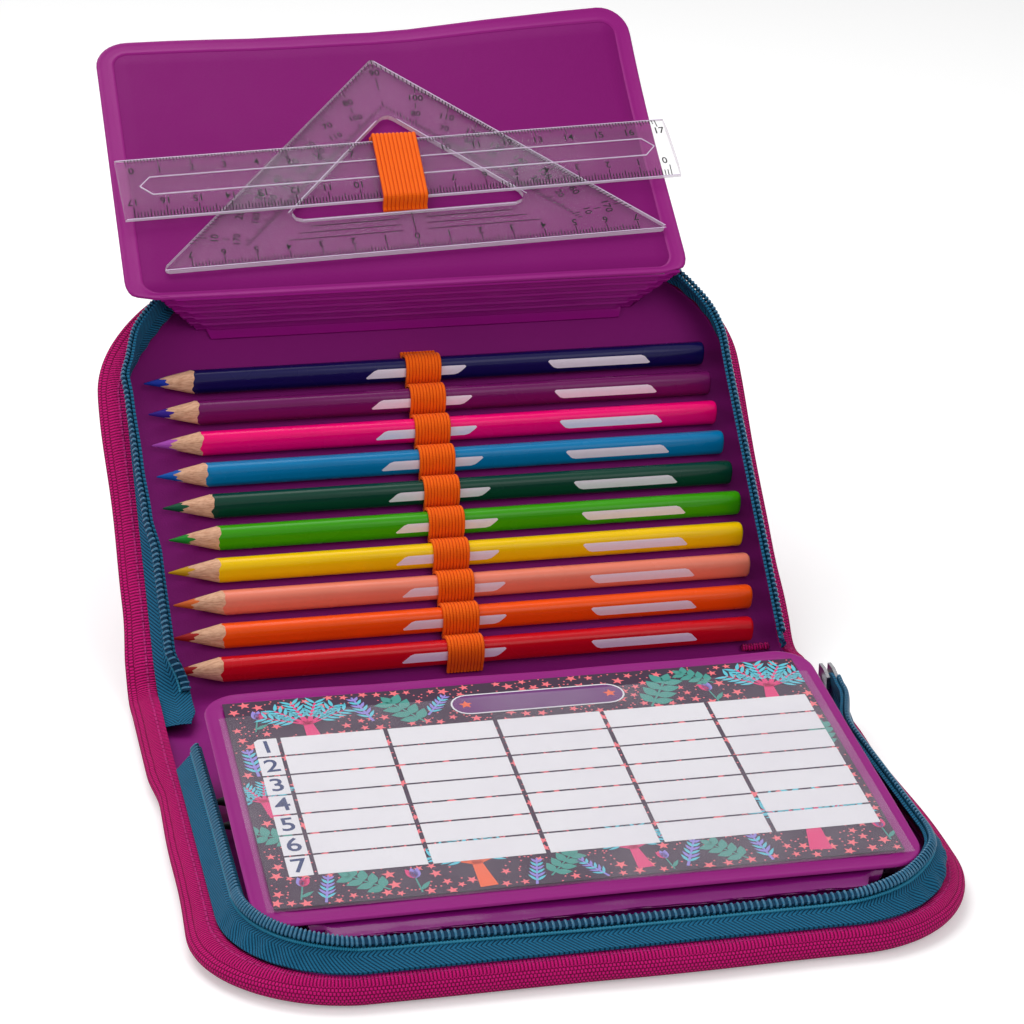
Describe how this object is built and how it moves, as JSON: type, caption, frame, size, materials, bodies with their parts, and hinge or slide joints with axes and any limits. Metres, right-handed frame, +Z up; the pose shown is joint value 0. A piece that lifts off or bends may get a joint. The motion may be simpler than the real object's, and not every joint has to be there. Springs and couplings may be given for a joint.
{
  "type": "zip-round pencil case",
  "caption": "Open zip-round pencil case: two fabric leaves, folding spine, pleated inner flaps, pencils in elastic loops, ruler, set square and scissors.",
  "frame": {"origin": "centre of the base leaf's flat underside, which lies on the table", "axes": "+X along the pencils, with their points towards -X; +Y from the base leaf's free edge to the spine and the lid; +Z up"},
  "size_m": [0.2008, 0.3297, 0.1604],
  "materials": {
    "cover_fabric": "coarse ribbed magenta polyester",
    "board": "plain grey-brown board, sealed between cover and lining",
    "lining": "matte purple PVC",
    "zip_tape": "teal-blue woven tape",
    "zip_teeth": "teal-blue nylon coil",
    "zip_metal": "dark nickel",
    "elastic": "ribbed orange elastic",
    "flap_sheet": "purple welded PVC",
    "card": "printed card",
    "clear_film": "clear soft film",
    "clear_acrylic": "clear acrylic",
    "steel": "brushed",
    "handle_plastic": "dark red-brown moulded plastic",
    "graphite_red": "dark red lacquer",
    "graphite_black": "black lacquer",
    "pencil_navy": "lacquered barrel, bare sharpened wood, blue lead",
    "pencil_plum": "lacquered barrel, bare sharpened wood, violet lead",
    "pencil_pink": "lacquered barrel, bare sharpened wood, lilac lead",
    "pencil_blue": "lacquered barrel, bare sharpened wood, blue lead",
    "pencil_dark_green": "lacquered barrel, bare sharpened wood, dark green lead",
    "pencil_green": "lacquered barrel, bare sharpened wood, green lead",
    "pencil_yellow": "lacquered barrel, bare sharpened wood, ochre lead",
    "pencil_coral": "lacquered barrel, bare sharpened wood, orange lead",
    "pencil_orange": "lacquered barrel, bare sharpened wood, dark red lead",
    "pencil_red": "lacquered barrel, bare sharpened wood, dark red lead"
  },
  "bodies": {
    "base": {"base_cover": "cover_fabric", "base_board": "board", "base_lining": "lining", "base_zip_tape": "zip_tape", "base_zip_teeth": "zip_teeth", "base_elastic": "elastic", "base_accordion": "flap_sheet", "zip_slider": "zip_metal"},
    "zip_pull": {"zip_pull": "zip_metal"},
    "spine": {"spine_cover": "cover_fabric", "spine_board": "board", "spine_lining": "lining"},
    "lid": {"lid_cover": "cover_fabric", "lid_board": "board", "lid_lining": "lining", "lid_zip_tape": "zip_tape", "lid_zip_teeth": "zip_teeth", "lid_accordion": "flap_sheet", "pencil_elastic": "elastic", "zip_end_tab": "cover_fabric"},
    "timetable_flap": {"timetable_flap": "flap_sheet", "timetable_card": "card", "card_pocket": "clear_film"},
    "ruler_flap": {"ruler_flap": "flap_sheet", "ruler_strap": "elastic"},
    "ruler": {"ruler": "clear_acrylic"},
    "set_square": {"set_square": "clear_acrylic"},
    "pencil_01": {"pencil_01": "pencil_navy"},
    "pencil_02": {"pencil_02": "pencil_plum"},
    "pencil_03": {"pencil_03": "pencil_pink"},
    "pencil_04": {"pencil_04": "pencil_blue"},
    "pencil_05": {"pencil_05": "pencil_dark_green"},
    "pencil_06": {"pencil_06": "pencil_green"},
    "pencil_07": {"pencil_07": "pencil_yellow"},
    "pencil_08": {"pencil_08": "pencil_coral"},
    "pencil_09": {"pencil_09": "pencil_orange"},
    "pencil_10": {"pencil_10": "pencil_red"},
    "scissors": {"scissors_lower_blade": "steel", "scissors_lower_handle": "handle_plastic", "scissors_rivet": "steel"},
    "scissors_upper": {"scissors_upper_blade": "steel", "scissors_upper_handle": "handle_plastic"},
    "graphite_pencil_1": {"graphite_pencil_1": "graphite_red"},
    "graphite_pencil_2": {"graphite_pencil_2": "graphite_black"}
  },
  "joints": [
    {"name": "spine_fold", "type": "hinge", "parent": "base", "child": "spine", "pos_m": [0, 0.068, 0.0033], "axis": [1, 0, 0], "range_deg": [0, 90]},
    {"name": "lid_fold", "type": "hinge", "parent": "spine", "child": "lid", "pos_m": [0, 0.1058, 0.0033], "axis": [1, 0, 0], "range_deg": [-45, 47.5]},
    {"name": "timetable_turn", "type": "hinge", "parent": "base", "child": "timetable_flap", "pos_m": [0, -0.0568, 0.0191], "axis": [-1, 0, 0], "range_deg": [-150, 6.5], "deforming": ["base_accordion"]},
    {"name": "ruler_flap_turn", "type": "hinge", "parent": "lid", "child": "ruler_flap", "pos_m": [0, 0.17389, 0.09841], "axis": [1, 0, 0], "range_deg": [0, 191.1], "deforming": ["lid_accordion"]},
    {"name": "ruler_slide", "type": "slide", "parent": "ruler_flap", "child": "ruler", "axis": [0.9989, 0.0391, 0.0263], "range_m": [-0.006, 0.0025]},
    {"name": "set_square_slide", "type": "slide", "parent": "ruler_flap", "child": "set_square", "axis": [0.9989, 0.0391, 0.0263], "range_m": [-0.0018, 0.0018]},
    {"name": "pencil_01_slide", "type": "slide", "parent": "lid", "child": "pencil_01", "axis": [1, 0, 0], "range_m": [-0.004, 0.004]},
    {"name": "pencil_02_slide", "type": "slide", "parent": "lid", "child": "pencil_02", "axis": [1, 0, 0], "range_m": [-0.004, 0.004]},
    {"name": "pencil_03_slide", "type": "slide", "parent": "lid", "child": "pencil_03", "axis": [1, 0, 0], "range_m": [-0.004, 0.004]},
    {"name": "pencil_04_slide", "type": "slide", "parent": "lid", "child": "pencil_04", "axis": [1, 0, 0], "range_m": [-0.004, 0.004]},
    {"name": "pencil_05_slide", "type": "slide", "parent": "lid", "child": "pencil_05", "axis": [1, 0, 0], "range_m": [-0.004, 0.004]},
    {"name": "pencil_06_slide", "type": "slide", "parent": "lid", "child": "pencil_06", "axis": [1, 0, 0], "range_m": [-0.004, 0.004]},
    {"name": "pencil_07_slide", "type": "slide", "parent": "lid", "child": "pencil_07", "axis": [1, 0, 0], "range_m": [-0.004, 0.004]},
    {"name": "pencil_08_slide", "type": "slide", "parent": "lid", "child": "pencil_08", "axis": [1, 0, 0], "range_m": [-0.004, 0.004]},
    {"name": "pencil_09_slide", "type": "slide", "parent": "lid", "child": "pencil_09", "axis": [1, 0, 0], "range_m": [-0.004, 0.004]},
    {"name": "pencil_10_slide", "type": "slide", "parent": "lid", "child": "pencil_10", "axis": [1, 0, 0], "range_m": [-0.004, 0.004]},
    {"name": "graphite_pencil_1_slide", "type": "slide", "parent": "base", "child": "graphite_pencil_1", "axis": [1, 0, 0], "range_m": [-0.004, 0.004]},
    {"name": "graphite_pencil_2_slide", "type": "slide", "parent": "base", "child": "graphite_pencil_2", "axis": [1, 0, 0], "range_m": [-0.004, 0.004]},
    {"name": "scissors_slide", "type": "slide", "parent": "base", "child": "scissors", "axis": [0.9945, -0.1045, 0], "range_m": [-0.01, 0]},
    {"name": "scissors_pivot", "type": "hinge", "parent": "scissors", "child": "scissors_upper", "pos_m": [0.006, -0.028, 0.0064], "axis": [0, 0, -1], "range_deg": [0, 6]},
    {"name": "zip_pull_hinge", "type": "hinge", "parent": "base", "child": "zip_pull", "pos_m": [0.091, 0.0639, 0.0137], "axis": [-1, 0, 0], "range_deg": [0, 60]}
  ]
}
